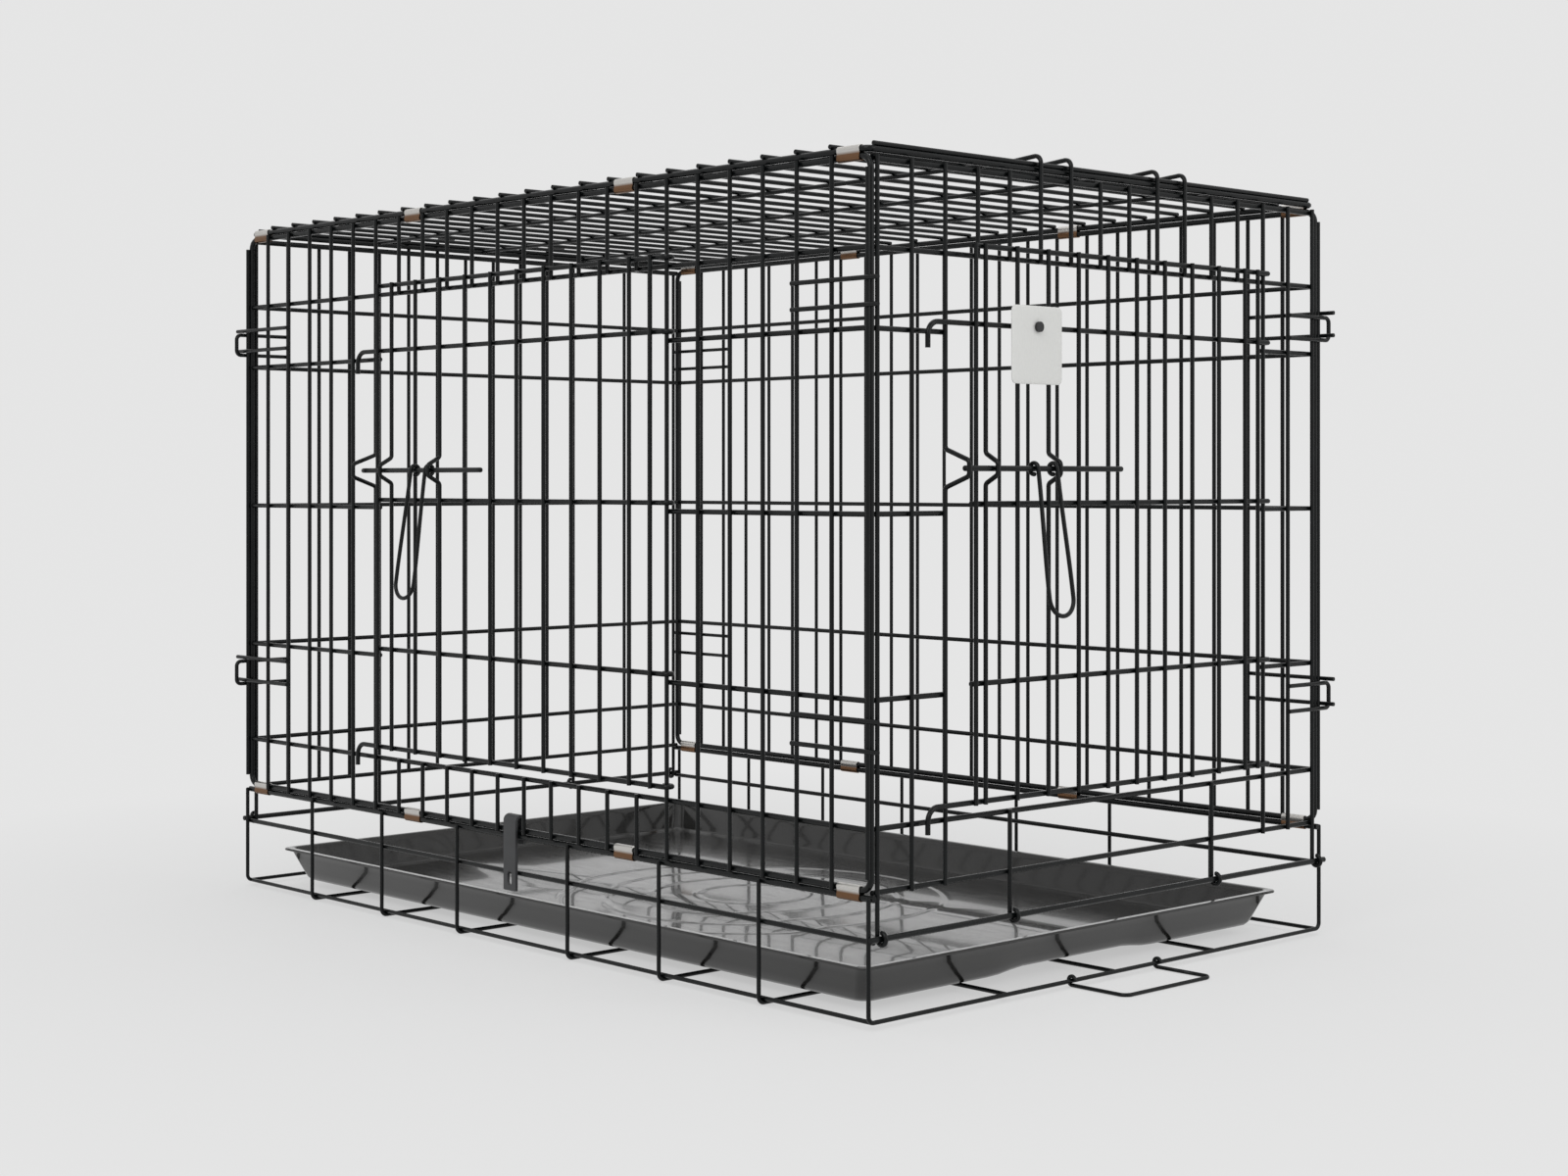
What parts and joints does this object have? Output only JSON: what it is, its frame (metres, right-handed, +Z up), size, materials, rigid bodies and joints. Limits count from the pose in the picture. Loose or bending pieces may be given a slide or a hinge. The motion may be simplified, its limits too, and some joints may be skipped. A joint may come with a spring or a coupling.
{
  "type": "pet crate",
  "caption": "Folding wire pet crate with a front door, a side door, slide bolts, a drop tray gate and a slide-out plastic tray.",
  "frame": {"origin": "on the floor, at the middle of the underside of the centre floor wire", "axes": "+X along the crate towards the front end with the tray gate, +Y across it away from the side door, +Z up"},
  "size_m": [0.8087, 0.5242, 0.5636],
  "materials": {
    "black_wire": "gloss black coat",
    "clip_metal": "dull zinc plate",
    "tray_plastic": "gloss dark grey",
    "strap_plastic": "satin dark grey",
    "card_white": "matt white card",
    "tie_plastic": "satin black"
  },
  "bodies": {
    "crate_body": {"base_floor_wires": "black_wire", "base_cross_wires": "black_wire", "base_side_rails": "black_wire", "base_front_hinge_wire": "black_wire", "base_rear_hinge_wire": "black_wire", "near_side_frame": "black_wire", "near_side_bars": "black_wire", "near_side_rails": "black_wire", "near_side_corner_wires": "black_wire", "near_side_bolt_keeper": "black_wire", "far_side_frame": "black_wire", "far_side_bars": "black_wire", "far_side_rails": "black_wire", "far_side_corner_wires": "black_wire", "roof_frame": "black_wire", "roof_bars": "black_wire", "roof_ribs": "black_wire", "base_clips": "clip_metal", "roof_clips": "clip_metal", "carry_handle": "strap_plastic"},
    "front_end": {"front_end_bars": "black_wire", "front_end_rails": "black_wire", "front_end_hinge_eyes": "black_wire", "front_end_roof_hooks": "black_wire", "front_end_snap_loops": "black_wire", "front_end_bolt_keeper": "black_wire"},
    "rear_end": {"rear_end_bars": "black_wire", "rear_end_rails": "black_wire", "rear_end_hinge_eyes": "black_wire", "rear_end_roof_hooks": "black_wire", "rear_end_snap_loops": "black_wire"},
    "front_door": {"front_door_bars": "black_wire", "front_door_rails": "black_wire", "front_door_stop_rails": "black_wire", "front_door_hinge_eyes": "black_wire", "front_door_bolt_guides": "black_wire", "card": "card_white", "card_tie": "tie_plastic"},
    "side_door": {"side_door_bars": "black_wire", "side_door_rails": "black_wire", "side_door_stop_rails": "black_wire", "side_door_hinge_eyes": "black_wire", "side_door_bolt_guides": "black_wire"},
    "front_bolt": {"front_bolt_rod": "black_wire"},
    "front_grip": {"front_bolt_grip": "black_wire"},
    "side_bolt": {"side_bolt_rod": "black_wire"},
    "side_grip": {"side_bolt_grip": "black_wire"},
    "tray": {"tray": "tray_plastic"},
    "tray_gate": {"tray_gate": "black_wire"}
  },
  "joints": [
    {"name": "front_end_swing", "type": "hinge", "parent": "crate_body", "child": "front_end", "pos_m": [0.3779, 0, 0.057], "axis": [0, 1, 0], "range_deg": [0, 90]},
    {"name": "rear_end_swing", "type": "hinge", "parent": "crate_body", "child": "rear_end", "pos_m": [-0.3779, 0, 0.057], "axis": [0, -1, 0], "range_deg": [0, 90]},
    {"name": "front_door_swing", "type": "hinge", "parent": "front_end", "child": "front_door", "pos_m": [0.3741, 0.17043, 0.312], "axis": [0, 0, -1], "range_deg": [-120, 0]},
    {"name": "side_door_swing", "type": "hinge", "parent": "crate_body", "child": "side_door", "pos_m": [0.17877, -0.2405, 0.312], "axis": [0, 0, -1], "range_deg": [-120, 0]},
    {"name": "front_bolt_slide", "type": "slide", "parent": "front_door", "child": "front_bolt", "axis": [0, 1, 0], "range_m": [-0.035, 0]},
    {"name": "front_bolt_turn", "type": "hinge", "parent": "front_bolt", "child": "front_grip", "pos_m": [0.3879, -0.09, 0.352], "axis": [0, 1, 0], "range_deg": [-100, 0]},
    {"name": "side_bolt_slide", "type": "slide", "parent": "side_door", "child": "side_bolt", "axis": [1, 0, 0], "range_m": [-0.035, 0]},
    {"name": "side_bolt_turn", "type": "hinge", "parent": "side_bolt", "child": "side_grip", "pos_m": [-0.0944, -0.2543, 0.352], "axis": [1, 0, 0], "range_deg": [-100, 0]},
    {"name": "tray_slide", "type": "slide", "parent": "crate_body", "child": "tray", "axis": [-1, 0, 0], "range_m": [-0.6, 0]},
    {"name": "tray_gate_swing", "type": "hinge", "parent": "crate_body", "child": "tray_gate", "pos_m": [0.3745, 0, 0.0045], "axis": [0, -1, 0], "range_deg": [0, 103]}
  ]
}
